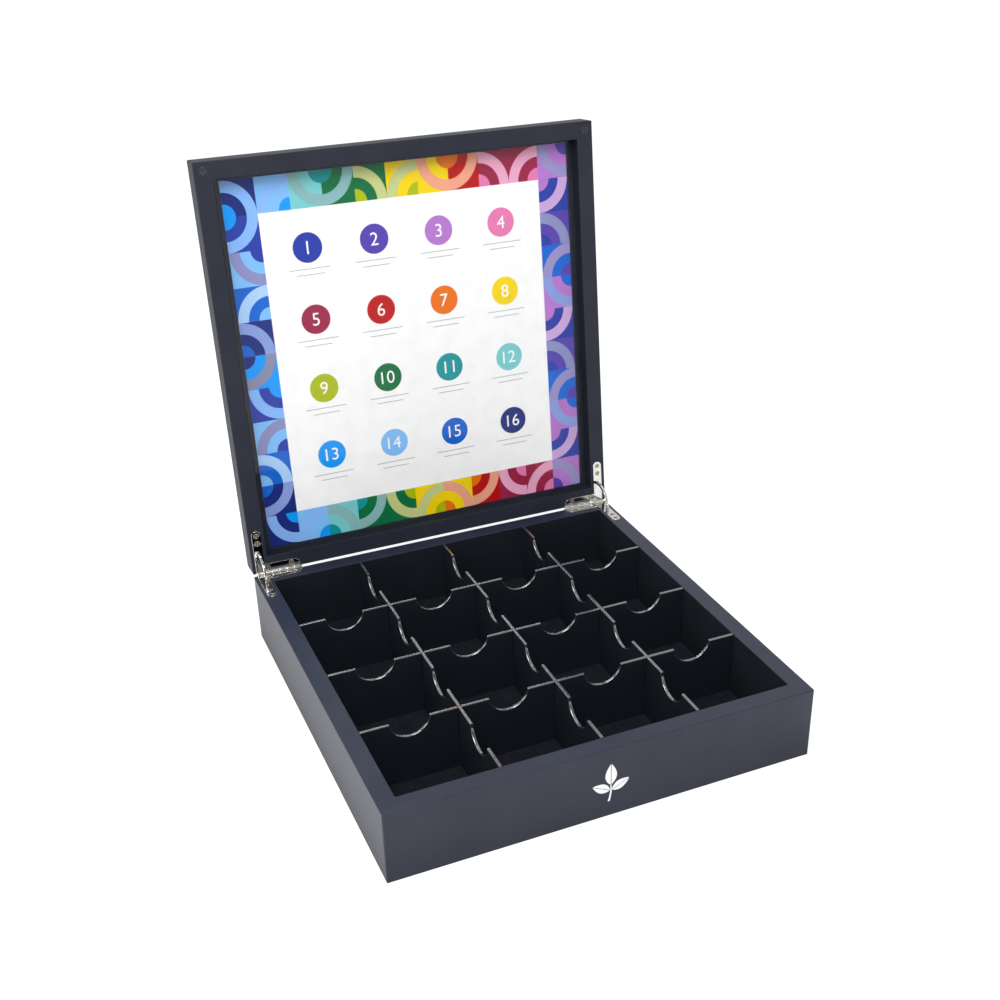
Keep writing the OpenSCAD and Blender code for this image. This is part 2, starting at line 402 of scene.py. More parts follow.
@dataclass(frozen=True)
class Finish(ABC):
    """A surface finish, which gives one material."""

    name: str

    @abstractmethod
    def draw(self, tree: Tree) -> None:
        """Builds the nodes of this finish."""

    def dress(self, piece: bpy.types.Object) -> None:
        """Puts this finish on every material slot of a piece.

        Args:
            piece: New piece or CAD node.
        """
        material = material_of(self)
        if not piece.material_slots:
            piece.data.materials.append(material)
        for slot in piece.material_slots:
            slot.material = material


@cache
def material_of(finish: Finish) -> bpy.types.Material:
    """Builds a finish's material once.

    Args:
        finish: The finish.

    Returns:
        Its material, which all pieces in that finish share.
    """
    material = bpy.data.materials.new(finish.name)
    finish.draw(Tree(material))
    return material


@dataclass(frozen=True)
class Frame:
    """Where a mitred frame of boards stands, so that its inner faces can be told apart.

    The frame's own coordinates are the surface point turned about X by turn, plus shift. In
    them the opening inside the frame reaches from -reach to reach in X and in Y.
    """

    reach: Pair
    turn: float = 0.0
    shift: Triple = (0.0, 0.0, 0.0)

    def inside(self, tree: Tree) -> Socket:
        """Tells the inner faces from the rest.

        Args:
            tree: Node tree to build in.

        Returns:
            Number socket: 1 on the inner faces, and 0 on the rim and outside.
        """
        place = tree.parts(tree.points(turn_x=self.turn, shift=self.shift))
        near = [tree.spread(tree.maths("ABSOLUTE", out), 1.0, 0.0, reach + INSIDE_EDGE,
                            reach + 2 * INSIDE_EDGE)
                for out, reach in zip(place, self.reach)]
        return tree.maths("MULTIPLY", *near)


@dataclass(frozen=True)
class SatinPaint(Finish):
    """Charcoal paint on smooth board, made darker and glossless on a frame's inner faces as
    painted shade.

    It has a faint peel, a hint of the board's grain and rubbed patches.
    """

    frame: Frame
    run: Run = Run.ACROSS
    black_inside: bool = True
    # The blue in this colour is partly the paint's own tone and partly painted reflection of the
    # blue print.
    colour: Colour = (0.0135, 0.0182, 0.038)
    # Painted shade: the darker colour of the inner faces, where the inside of the box lies in
    # shade.
    inner_colour: Colour = (0.0095, 0.0124, 0.0172)
    shine: Pair = (0.5, 0.7)
    inner_shine: float = 0.9
    reflection: float = 0.12
    gloss: Pair = (0.70, 0.87)
    gloss_shine: float = 0.36
    peel_size: float = 1.1 * MM
    peel_depth: float = 0.004 * MM
    grain_size: float = 1.6 * MM
    grain_length: float = 45.0
    grain_depth: float = 0.006 * MM
    patch_size: float = 38.0 * MM
    patch_strength: float = 0.12

    def draw(self, tree: Tree) -> None:
        """Builds peel, grain, patchy gloss, cloudy colour and the painted shade inside."""
        turn = self.frame.turn
        even = tree.points(turn_x=turn)
        short = 1.0 / self.grain_length
        streaks = (short, 1.0, 1.0) if self.run is Run.ACROSS else (1.0, short, 1.0)
        peel = tree.noise(even, self.peel_size)
        grain = tree.noise(tree.points(streaks, turn), self.grain_size, 3.0)
        patches = tree.noise(even, self.patch_size, 4.0)
        cloud = tree.spread(patches, 1.0 - self.patch_strength, 1.0 + self.patch_strength)
        # Mask of the inner faces, which take painted shade: a darker colour and no gloss.
        inside = self.frame.inside(tree) if self.black_inside else 0.0
        colour = tree.blend(inside, self.colour, self.inner_colour)
        shine = tree.spread(patches, *self.shine)
        gloss = tree.spread(patches, *self.gloss)
        normal = tree.bump(grain, self.grain_depth, tree.bump(peel, self.peel_depth))
        tree.end(tree.surface(
            Base_Color=tree.shade(cloud, colour),
            Roughness=tree.between(inside, shine, self.inner_shine),
            Specular_IOR_Level=self.reflection,
            Coat_Weight=tree.between(inside, gloss, 0.0),
            Coat_Roughness=self.gloss_shine,
            Coat_Normal=normal,
            Normal=normal))


@dataclass(frozen=True)
class MattBoard(Finish):
    """Black board with a dry, slightly fibrous surface."""

    colour: Colour = (0.012, 0.0125, 0.014)
    shine: Pair = (0.55, 0.72)
    fibre_size: float = 0.7 * MM
    fibre_depth: float = 0.02 * MM
    fibre_stretch: Triple = (1.0, 0.35, 1.0)
    fibre_tone: Pair = (0.7, 1.5)

    def draw(self, tree: Tree) -> None:
        """Builds fibres that roughen and lighten the black."""
        fibres = tree.noise(tree.points(self.fibre_stretch), self.fibre_size, 4.0)
        tree.end(tree.surface(
            Base_Color=tree.shade(tree.spread(fibres, *self.fibre_tone), self.colour),
            Roughness=tree.spread(fibres, *self.shine),
            Normal=tree.bump(fibres, self.fibre_depth)))


@dataclass(frozen=True)
class Felt(Finish):
    """Short black pile that lines the bottom."""

    colour: Colour = (0.0078, 0.0088, 0.0135)
    tuft_size: float = 0.9 * MM
    clump_size: float = 9.0 * MM
    clump_tone: Pair = (0.75, 1.3)
    pile_depth: float = 0.25 * MM
    shine: float = 0.95
    sheen: float = 0.02
    sheen_shine: float = 0.5
    reflection: float = 0.12

    def draw(self, tree: Tree) -> None:
        """Builds tufts, clumps brushed one way, and a weak sheen."""
        points = tree.points()
        tufts = tree.noise(points, self.tuft_size, 5.0)
        clumps = tree.noise(points, self.clump_size, 3.0)
        tree.end(tree.surface(
            Base_Color=tree.shade(tree.spread(clumps, *self.clump_tone), self.colour),
            Roughness=self.shine,
            Specular_IOR_Level=self.reflection,
            Sheen_Weight=self.sheen,
            Sheen_Roughness=self.sheen_shine,
            Normal=tree.bump(tufts, self.pile_depth)))


@dataclass(frozen=True)
class DividerSheet(Finish):
    """Black sheet with satin faces, and polished cut edges on top and in the notches.

    How far a surface turns to the side of the faces runs from 0 to 1. Past cut_limits it is a
    face and no longer an edge, and over arris_limits the edge turns into its chamfer, which is
    painted lighter as a painted highlight of the edge catching light.
    """

    faces: Faces = Faces.FRONT_AND_BACK
    face_colour: Colour = (0.0100, 0.0139, 0.0190)
    edge_colour: Colour = (0.012, 0.013, 0.014)
    # Painted highlight: the chamfer's lighter colour stands in for the edge catching light.
    arris_colour: Colour = (0.035, 0.036, 0.04)
    cut_limits: Pair = (0.8, 0.9)
    arris_limits: Pair = (0.2, 0.6)
    face_shine: Pair = (0.30, 0.42)
    edge_shine: Pair = (0.26, 0.38)
    face_reflection: float = 0.35
    polish_shine: float = 0.14
    polish_index: float = 3.1
    saw_size: float = 0.25 * MM
    saw_depth: float = 0.002 * MM
    saw_tone: Pair = (0.8, 1.2)
    edge_radius: float = 0.6 * MM
    cloud_size: float = 24.0 * MM

    def draw(self, tree: Tree) -> None:
        """Tells cut edge from face by the surface's direction, and draws both."""
        direction = tree.parts(tree.node("ShaderNodeTexCoord").outputs["Normal"])
        facing = tree.maths("ABSOLUTE", direction[self.faces.value])
        cut = tree.spread(facing, 1.0, 0.0, *self.cut_limits)
        arris_highlight = tree.maths("MULTIPLY", cut, tree.spread(facing, 0.0, 1.0, *self.arris_limits))
        saw = tree.noise(tree.points(), self.saw_size, 3.0)
        cloud = tree.noise(tree.points(), self.cloud_size, 3.0)
        # The chamfer takes the lighter colour, a painted highlight.
        edge = tree.blend(arris_highlight, self.edge_colour, self.arris_colour)
        sawn = tree.shade(tree.spread(saw, *self.saw_tone), edge)
        colour = tree.blend(cut, self.face_colour, sawn)
        face_gloss = tree.spread(cloud, *self.face_shine)
        edge_gloss = tree.spread(saw, *self.edge_shine)
        normal = tree.bump(tree.maths("MULTIPLY", saw, cut), self.saw_depth,
                           tree.rounded(self.edge_radius))
        tree.end(tree.surface(
            Base_Color=colour,
            Roughness=tree.between(cut, face_gloss, edge_gloss),
            Specular_IOR_Level=self.face_reflection,
            Coat_Weight=cut,
            Coat_Roughness=self.polish_shine,
            Coat_IOR=self.polish_index,
            Coat_Normal=normal,
            Normal=normal))


@dataclass(frozen=True)
class PrintedPaper(Finish):
    """Coated paper that shows its own ink attribute, with a little tooth and uneven ink."""

    tooth_size: float = 0.35 * MM
    tooth_depth: float = 0.006 * MM
    cloud_size: float = 12.0 * MM
    cloud_tone: Pair = (0.97, 1.03)
    shine: Pair = (0.42, 0.55)
    reflection: float = 0.12

    def draw(self, tree: Tree) -> None:
        """Reads the ink and lets it vary slightly."""
        ink = tree.node("ShaderNodeAttribute", attribute_name=INK_ATTRIBUTE)
        tooth = tree.noise(tree.points(), self.tooth_size, 3.0)
        cloud = tree.noise(tree.points(), self.cloud_size, 2.0)
        tree.end(tree.surface(
            Base_Color=tree.shade(tree.spread(cloud, *self.cloud_tone), ink.outputs["Color"]),
            Roughness=tree.spread(tooth, *self.shine),
            Specular_IOR_Level=self.reflection,
            Normal=tree.bump(tooth, self.tooth_depth)))


@dataclass(frozen=True)
class ClearSheet(Finish):
    """Thin clear sheet: it lets the print through and mirrors more at a glancing angle."""

    straight_gloss: float = 0.014
    rise: float = 5.0
    haze: float = 0.003
    haze_size: float = 30.0 * MM
    shine: float = 0.03

    def draw(self, tree: Tree) -> None:
        """Mixes see-through and mirror by angle, with a faint haze of handling."""
        angle = tree.node("ShaderNodeLayerWeight").outputs["Facing"]
        grazing = tree.maths("POWER", angle, self.rise)
        mirror = tree.maths("MULTIPLY_ADD", grazing, 1.0 - self.straight_gloss,
                            self.straight_gloss, clamp=True)
        gloss = tree.node("ShaderNodeBsdfGlossy")
        gloss.inputs["Roughness"].default_value = self.shine
        dust = tree.node("ShaderNodeBsdfDiffuse")
        clear = tree.node("ShaderNodeBsdfTransparent")
        blotch = tree.noise(tree.points(), self.haze_size, 5.0)
        body = tree.mix(tree.spread(blotch, 0.0, self.haze), clear.outputs[0], dust.outputs[0])
        tree.end(tree.mix(mirror, body, gloss.outputs[0]))


@dataclass(frozen=True)
class SoftBumper(Finish):
    """Clear soft plastic, a little milky."""

    colour: Colour = (0.30, 0.31, 0.33)
    solid: Pair = (0.048, 0.078)
    shine: Pair = (0.12, 0.3)
    cloud_size: float = 1.5 * MM

    def draw(self, tree: Tree) -> None:
        """Mixes a weak milky body into a see-through one."""
        cloud = tree.noise(tree.points(), self.cloud_size, 2.0)
        body = tree.surface(Base_Color=self.colour, Roughness=tree.spread(cloud, *self.shine))
        clear = tree.node("ShaderNodeBsdfTransparent").outputs[0]
        tree.end(tree.mix(tree.spread(cloud, *self.solid), clear, body))


@dataclass(frozen=True)
class PlatedSteel(Finish):
    """Plated steel with hairline scratches, and dull spots where the plating is thin."""

    colour: Colour = (0.80, 0.79, 0.76)
    dull_colour: Colour = (0.56, 0.53, 0.47)
    shine: Pair = (0.03, 0.09)
    scratch_size: float = 0.12 * MM
    scratch_depth: float = 0.0003 * MM
    scratch_stretch: Triple = (0.08, 1.0, 1.0)
    spot_size: float = 3.5 * MM
    spot_limits: Pair = (0.5, 0.8)
    edge_radius: float = 0.45 * MM

    def draw(self, tree: Tree) -> None:
        """Builds spots of dulled plating over fine scratches."""
        scratches = tree.noise(tree.points(self.scratch_stretch), self.scratch_size, 2.0)
        dulled = tree.noise(tree.points(), self.spot_size, 4.0)
        spots = tree.spread(dulled, 0.0, 1.0, *self.spot_limits)
        tree.end(tree.surface(
            Base_Color=tree.blend(spots, self.colour, self.dull_colour),
            Metallic=1.0,
            Roughness=tree.spread(spots, *self.shine, 0.0, 1.0),
            Normal=tree.bump(scratches, self.scratch_depth, tree.rounded(self.edge_radius))))


@dataclass(frozen=True)
class Paper(Finish):
    """Pale floor that keeps the object's shadow and looks white where it is seen.

    In mirrors it has painted shade that darkens it towards the box, which stands on it with half
    width and half depth foot, over the distances foot_reach.
    """

    foot: Pair
    foot_reach: Pair = (30.0 * MM, 95.0 * MM)
    foot_shade: float = 0.60
    colour: float = 0.80
    kept_shadow: float = 0.34
    lift: float = 0.84
    mirrored_shadow: float = 0.69
    mirrored_lift: float = 0.335

    def draw(self, tree: Tree) -> None:
        """Lights the floor plainly for the object, and lifts it to white where it is seen."""
        shown, mirrored = seen_rays(tree)
        place = tree.parts(tree.points())
        # Painted shade that darkens the floor near the box, as mirrors see it.
        shades = [tree.spread(tree.maths("ABSOLUTE", out), self.foot_shade, 1.0,
                              foot, foot + reach)
                  for out, foot, reach in zip(place, self.foot, self.foot_reach)]
        shade = tree.maths("MAXIMUM", *shades)
        grey = tree.between(mirrored, self.colour,
                            tree.maths("MULTIPLY", shade, self.mirrored_shadow))
        lift = tree.maths("MULTIPLY", tree.maths("MULTIPLY", shade, mirrored),
                          self.mirrored_lift)
        shadowed = tree.node("ShaderNodeBsdfDiffuse")
        tree.feed(shadowed.inputs["Color"],
                  tree.shade(tree.between(shown, grey, self.kept_shadow), (1.0, 1.0, 1.0)))
        glow = tree.node("ShaderNodeEmission")
        tree.feed(glow.inputs["Strength"], tree.between(shown, lift, self.lift))
        both = tree.node("ShaderNodeAddShader")
        tree.feed(both.inputs[0], shadowed.outputs[0])
        tree.feed(both.inputs[1], glow.outputs[0])
        tree.end(both.outputs[0])


def seen_rays(tree: Tree) -> tuple[Socket, Socket]:
    """Tells the rays that show a surface from those that only light others.

    Args:
        tree: Node tree to build in.

    Returns:
        Two number sockets: 1 for camera and transmission rays, and 1 for glossy rays.
    """
    path = tree.node("ShaderNodeLightPath")
    shown = tree.maths("MAXIMUM", path.outputs["Is Camera Ray"],
                       path.outputs["Is Transmission Ray"])
    return shown, path.outputs["Is Glossy Ray"]


@dataclass(frozen=True)
class HingeLine:
    """The line along X that the lid turns about, and how far the lid stands open at rest."""

    y: float
    z: float
    opening: float

    @classmethod
    def of_joint(cls, name: str) -> "HingeLine":
        """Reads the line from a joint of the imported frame.

        Args:
            name: The joint's name. Its highest angle closes the lid.

        Returns:
            The hinge line.
        """
        joint = next(j for j in frame["joints"] if j["name"] == name)
        _, y, z = joint["pos_m"]
        return cls(y, z, math.radians(max(joint["range_deg"])))

    def turned(self, points: np.ndarray, angle: float) -> np.ndarray:
        """Turns points about the line.

        Args:
            points: Array of shape (n, 3), in metres.
            angle: Angle in radians about +X.

        Returns:
            Turned copy of the points.
        """
        c, s = math.cos(angle), math.sin(angle)
        y, z = points[:, 1] - self.y, points[:, 2] - self.z
        return np.column_stack([points[:, 0], self.y + c * y - s * z, self.z + s * y + c * z])

    def frame_of(self, right: str, back: str) -> Frame:
        """Finds where the lid's frame of rails stands.

        Args:
            right: Node of its right rail.
            back: Node of its back rail.

        Returns:
            The frame, whose own coordinates are those of the closed lid.
        """
        reach = (float(self.closed_box(right)[0][0]), float(self.closed_box(back)[0][1]))
        origin = self.turned(np.zeros((1, 3)), self.opening)[0]
        return Frame(reach, self.opening, tuple(origin.tolist()))

    def closed_box(self, node: str) -> tuple[np.ndarray, np.ndarray]:
        """Measures a node of the lid as if the lid were shut.

        Args:
            node: Name of the CAD node.

        Returns:
            Its lowest and highest corners with the lid closed.
        """
        mesh = frame["nodes"][node].data
        points = np.empty(len(mesh.vertices) * 3)
        mesh.vertices.foreach_get("co", points)
        shut = self.turned(points.reshape(-1, 3), self.opening)
        return shut.min(0), shut.max(0)


def linked(name: str, data: bpy.types.ID) -> bpy.types.Object:
    """Adds an object to the scene.

    Args:
        name: Its name.
        data: Its mesh, lamp or camera.

    Returns:
        The new object, at the origin.
    """
    made = bpy.data.objects.new(name, data)
    bpy.context.scene.collection.objects.link(made)
    return made


def pose_of(right: np.ndarray, up: np.ndarray, back: np.ndarray,
            stand: np.ndarray) -> Matrix:
    """Gives the pose of a lamp or camera, which looks along its own -Z.

    Args:
        right: Unit vector of its own X.
        up: Unit vector of its own Y.
        back: Unit vector of its own Z.
        stand: Where it stands.

    Returns:
        Its world matrix.
    """
    pose = np.eye(4)
    pose[:3, :3] = np.column_stack([right, up, back])
    pose[:3, 3] = stand
    return Matrix(pose.tolist())


@dataclass
class Plates:
    """Thin closed plates of ink on one flat ground, gathered for a single mesh.

    A plate is drawn in the ground's own axes: the first to the right, the second up and the
    third out of the ground, towards whoever looks at it.
    """

    points: list[np.ndarray] = field(default_factory=list)
    faces: list[list[int]] = field(default_factory=list)
    inks: list[Colour] = field(default_factory=list)

    def add_mesh(self, points: np.ndarray, faces: list[list[int]], ink: Colour) -> None:
        """Adds a closed shell.

        Args:
            points: Array of shape (n, 3).
            faces: Corner numbers of each face, seen from outside in counter-clockwise order.
            ink: Linear colour of the whole shell.
        """
        start = sum(len(p) for p in self.points)
        self.points.append(points)
        self.faces.extend([start + corner for corner in face] for face in faces)
        self.inks.extend([ink] * len(faces))

    def add(self, outline: np.ndarray, low: float, high: float, ink: Colour) -> None:
        """Adds a plate: the outline at two heights, joined by a wall of quads.

        Args:
            outline: Array of shape (n, 2), counter-clockwise.
            low: Height of its underside.
            high: Height of its top.
            ink: Linear colour.
        """
        count = len(outline)
        corners = np.arange(count)
        after = np.roll(corners, -1)
        walls = np.column_stack([corners, after, after + count, corners + count])
        levels = np.repeat([low, high], count)
        points = np.column_stack([np.tile(outline, (2, 1)), levels])
        caps = [corners[::-1].tolist(), (corners + count).tolist()]
        self.add_mesh(points, caps + walls.tolist(), ink)

    def piece(self, name: str, origin: np.ndarray, axes: np.ndarray) -> bpy.types.Object:
        """Makes the gathered plates one piece.

        Args:
            name: Name of the piece.
            origin: Row-frame point of the ground's own zero.
            axes: Array of shape (3, 3) with the ground's axes in the row frame as its rows.

        Returns:
            The new piece, with its place in its mesh.
        """
        placed = np.concatenate(self.points) @ axes + origin
        mesh = bpy.data.meshes.new(name)
        mesh.from_pydata(placed.tolist(), [], self.faces)
        counts = [len(face) for face in self.faces]
        inks = np.column_stack([np.array(self.inks), np.ones(len(self.inks))])
        attribute = mesh.color_attributes.new(INK_ATTRIBUTE, "FLOAT_COLOR", "CORNER")
        attribute.data.foreach_set("color", np.repeat(inks, counts, axis=0).ravel())
        mesh.update()
        return linked(name, mesh)


def rectangle(left: float, low: float, right: float, high: float) -> np.ndarray:
    """Gives a rectangle's four corners, counter-clockwise."""
    return np.array([[left, low], [right, low], [right, high], [left, high]])


def sector(centre: np.ndarray, radii: np.ndarray, start: float, sweep: float,
           steps: int) -> np.ndarray:
    """Gives a slice of an ellipse: its centre, and points at even angles along its rim.

    Args:
        centre: Centre of the ellipse.
        radii: Its half width and half height.
        start: First angle in radians.
        sweep: Angle that the slice takes, in radians.
        steps: Number of rim pieces.

    Returns:
        Array of shape (steps + 2, 2), counter-clockwise.
    """
    angles = start + sweep * np.linspace(0.0, 1.0, steps + 1)
    rim = centre + radii * np.column_stack([np.cos(angles), np.sin(angles)])
    return np.vstack([centre, rim])


def disc(centre: np.ndarray, radius: float, steps: int) -> np.ndarray:
    """Gives points at even angles round a circle.

    Args:
        centre: Centre of the circle.
        radius: Its radius.
        steps: Number of points.

    Returns:
        Array of shape (steps, 2), counter-clockwise.
    """
    angles = math.tau * np.arange(steps) / steps
    return centre + radius * np.column_stack([np.cos(angles), np.sin(angles)])


def number_shell(number: int, height: float, low: float,
                 high: float) -> tuple[np.ndarray, list[list[int]]]:
    """Makes a plain number as a closed shell, centred on the ground's zero.

    Args:
        number: The number.
        height: Height of its digits.
        low: Height of its underside over the ground.
        high: Height of its top over the ground.

    Returns:
        Its points and faces.
    """
    curve = bpy.data.curves.new("number", "FONT")
    curve.body = str(number)
    curve.align_x = "CENTER"
    curve.align_y = "CENTER"
    curve.extrude = HALF_THICKNESS
    text = bpy.data.objects.new("number", curve)
    mesh = bpy.data.meshes.new_from_object(text)
    shell = bmesh.new()
    shell.from_mesh(mesh)
    bmesh.ops.remove_doubles(shell, verts=shell.verts, dist=MERGE_DISTANCE)
    bmesh.ops.recalc_face_normals(shell, faces=shell.faces)
    shell.to_mesh(mesh)
    shell.free()
    mesh.transform(Matrix.Diagonal((height, height, high - low, 1.0)))
    points = np.empty(len(mesh.vertices) * 3)
    mesh.vertices.foreach_get("co", points)
    points = points.reshape(-1, 3)
    points[:, :2] -= (points[:, :2].min(0) + points[:, :2].max(0)) / 2
    points[:, 2] += (low + high) / 2
    faces = [list(face.vertices) for face in mesh.polygons]
    bpy.data.meshes.remove(mesh)
    bpy.data.objects.remove(text)
    bpy.data.curves.remove(curve)
    return points, faces


@dataclass
class WoodenBase:
    """The open box: four painted walls, the bottom board and its lining."""

    board: MattBoard = MattBoard("matt_board")
    lining: Felt = Felt("felt_lining")
    motif_height: float = 32.0 * MM
    motif_rise: float = 0.5
    leaves: tuple[tuple[float, float, float, float], ...] = (
        (-0.026, -0.20, 1.12, 0.46), (0.026, -0.20, -1.12, 0.46), (0.0, -0.055, 0.0, 0.55))
    stem_ends: tuple[Pair, Pair] = ((-0.05, -0.5), (0.0, -0.06))
    stem_width: float = 0.05
    ink_low: float = -0.02 * MM
    ink_high: float = 0.012 * MM
    leaf_steps: int = 40
    leaf_width: float = 0.24
    leaf_vein: float = 0.012
    leaf_fullness: float = 0.8
    leaf_lean: float = 0.5
    stem_bend: float = 0.05
    stem_taper: float = 0.45

    def dress(self) -> None:
        """Paints the walls and finishes the bottom."""
        reach = (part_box("base_right_wall")[0].x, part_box("base_back_wall")[0].y)
        across = SatinPaint("paint_across", Frame(reach), Run.ACROSS)
        along = SatinPaint("paint_along", Frame(reach), Run.ALONG)
        for side, paint in (("front", across), ("back", across),
                            ("left", along), ("right", along)):
            dress_node(f"base_{side}_wall", paint)
        dress_node("base_bottom_board", self.board)
        dress_node("base_floor_liner", self.lining)

    def half_leaf(self, foot: np.ndarray, turn: float, length: float, side: int) -> np.ndarray:
        """Draws one half of a leaf, from its midrib to its rim.

        The rim's distance from the midrib is sin(pi t) to the power leaf_fullness, with t
        running from 0 at the foot to 1 at the tip. It leans towards the foot by the factor
        1 + leaf_lean (0.5 - t), and half of the vein stays free beside the midrib.

        Args:
            foot: Point where the leaf leaves the stem.
            turn: Angle of the midrib from upright, in radians, positive to the left.
            length: Length of the leaf.
            side: 1 for the left half and -1 for the right half.

        Returns:
            Outline of shape (n, 2), counter-clockwise.
        """
        width, vein = self.leaf_width * length, self.leaf_vein * length
        t = np.linspace(0.0, 1.0, self.leaf_steps + 1)
        belly = np.sin(math.pi * t).clip(0.0) ** self.leaf_fullness
        out = vein + width * belly * (1.0 + self.leaf_lean * (0.5 - t))
        rim = np.column_stack([-side * out, t * length])
        rib = np.array([[-side * vein, length], [-side * vein, 0.0]])
        outline = np.vstack([rim[1:-1], rib])
        c, s = math.cos(turn), math.sin(turn)
        placed = outline @ np.array([[c, s], [-s, c]]) + foot
        return placed if side < 0 else placed[::-1]

    def stem(self, foot: np.ndarray, top: np.ndarray, width: float) -> np.ndarray:
        """Draws a stem that tapers upwards along a bend of half a sine wave.

        Args:
            foot: Lower end.
            top: Upper end.
            width: Width at the foot.

        Returns:
            Outline of shape (n, 2), counter-clockwise.
        """
        t = np.linspace(0.0, 1.0, self.leaf_steps + 1)
        bend = self.stem_bend * (top[1] - foot[1]) * np.sin(math.pi * t)
        line = foot + (top - foot) * t[:, None] + np.column_stack([bend, 0.0 * t])
        half = np.column_stack([0.5 * width * (1.0 - self.stem_taper * t), 0.0 * t])
        return np.vstack([line + half, (line - half)[::-1]])

    def motif(self) -> bpy.types.Object:
        """Prints a plain sprig of three leaves in white on the front wall.

        Each leaf has the place of its foot, its turn and its length, all but the turn as
        shares of the sprig's height.

        Returns:
            The new piece.
        """
        low, high = (np.array(corner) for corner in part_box("base_front_wall"))
        size = self.motif_height
        plates = Plates()
        white = Ink.WHITE.value
        foot, fork = np.array(self.stem_ends) * size
        outlines = [self.stem(foot, fork, self.stem_width * size)]
        for right, up, turn, length in self.leaves:
            for side in (1, -1):
                base = np.array([right, up]) * size
                outlines.append(self.half_leaf(base, turn, length * size, side))
        for outline in outlines:
            plates.add(outline, self.ink_low, self.ink_high, white)
        middle = low[2] + self.motif_rise * (high[2] - low[2])
        axes = np.array([[1.0, 0.0, 0.0], [0.0, 0.0, 1.0], [0.0, -1.0, 0.0]])
        return plates.piece("front_motif", np.array([0.0, low[1], middle]), axes)

    def build(self) -> None:
        """Dresses the base and adds the printed motif."""
        self.dress()
        place(self.motif(), Body.BASE, Slot.PRINT, PrintedPaper("motif_ink"))


@dataclass
class DividerGrid:
    """Six dividers that lock together into compartments."""

    across: DividerSheet = DividerSheet("divider_across", Faces.FRONT_AND_BACK)
    along: DividerSheet = DividerSheet("divider_along", Faces.LEFT_AND_RIGHT)

    def build(self) -> None:
        """Dresses each divider by the direction it runs in."""
        for node in sorted(frame["nodes"]):
            if node.startswith("divider_across"):
                dress_node(node, self.across)
            elif node.startswith("divider_along"):
                dress_node(node, self.along)


